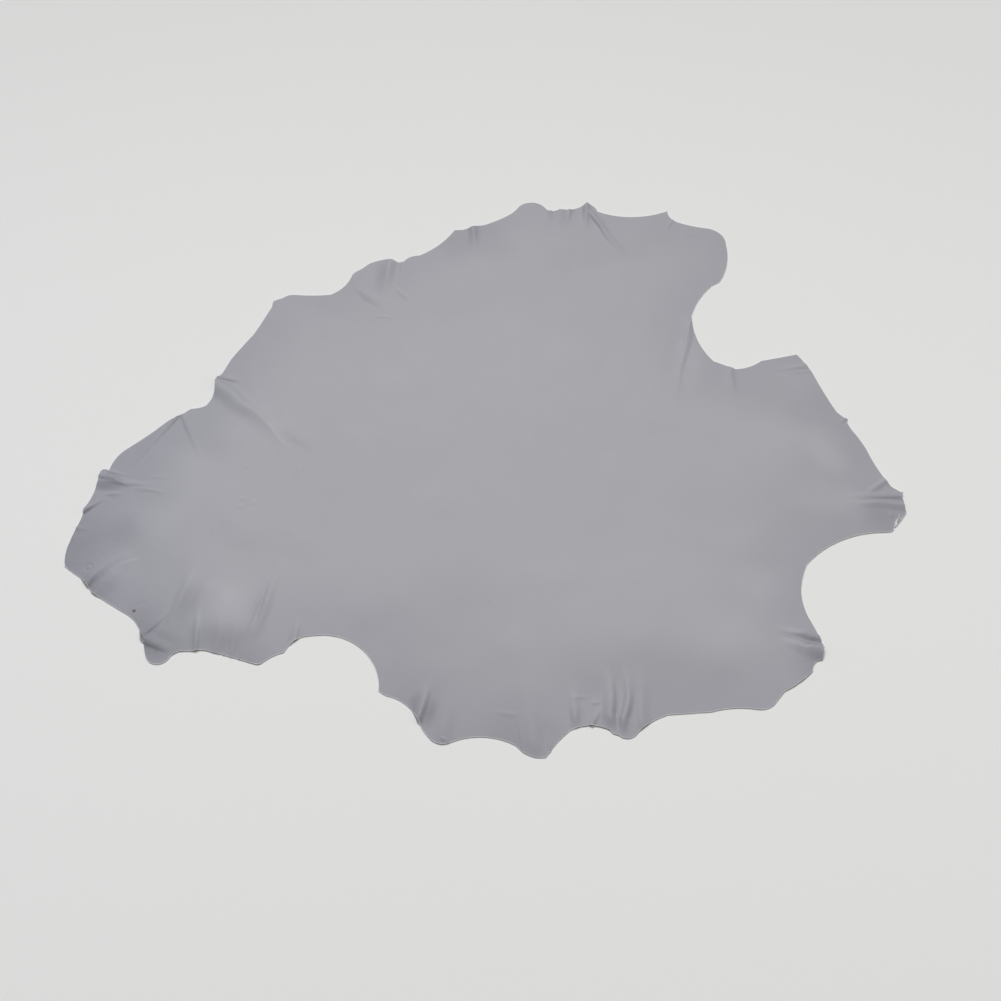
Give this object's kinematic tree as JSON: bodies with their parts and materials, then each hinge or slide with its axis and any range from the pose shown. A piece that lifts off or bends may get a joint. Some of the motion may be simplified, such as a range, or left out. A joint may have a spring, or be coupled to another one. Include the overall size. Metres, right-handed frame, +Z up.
{
  "type": "leather hide",
  "caption": "Small whole hide of soft grey garment leather, laid out grain side up, with its trimmed outline, shank bays, low rolls and edge pleats.",
  "frame": {"origin": "middle of the hide's footprint, on the surface that it lies on", "axes": "+Z up from the grain side, +X from the neck end to the tail, +Y across the skin"},
  "size_m": [1.1488, 0.9511, 0.0097],
  "materials": {
    "leather": "matte, fine smooth grain above, suede-like flesh side below"
  },
  "bodies": {
    "root": {"hide": "leather"}
  },
  "joints": []
}
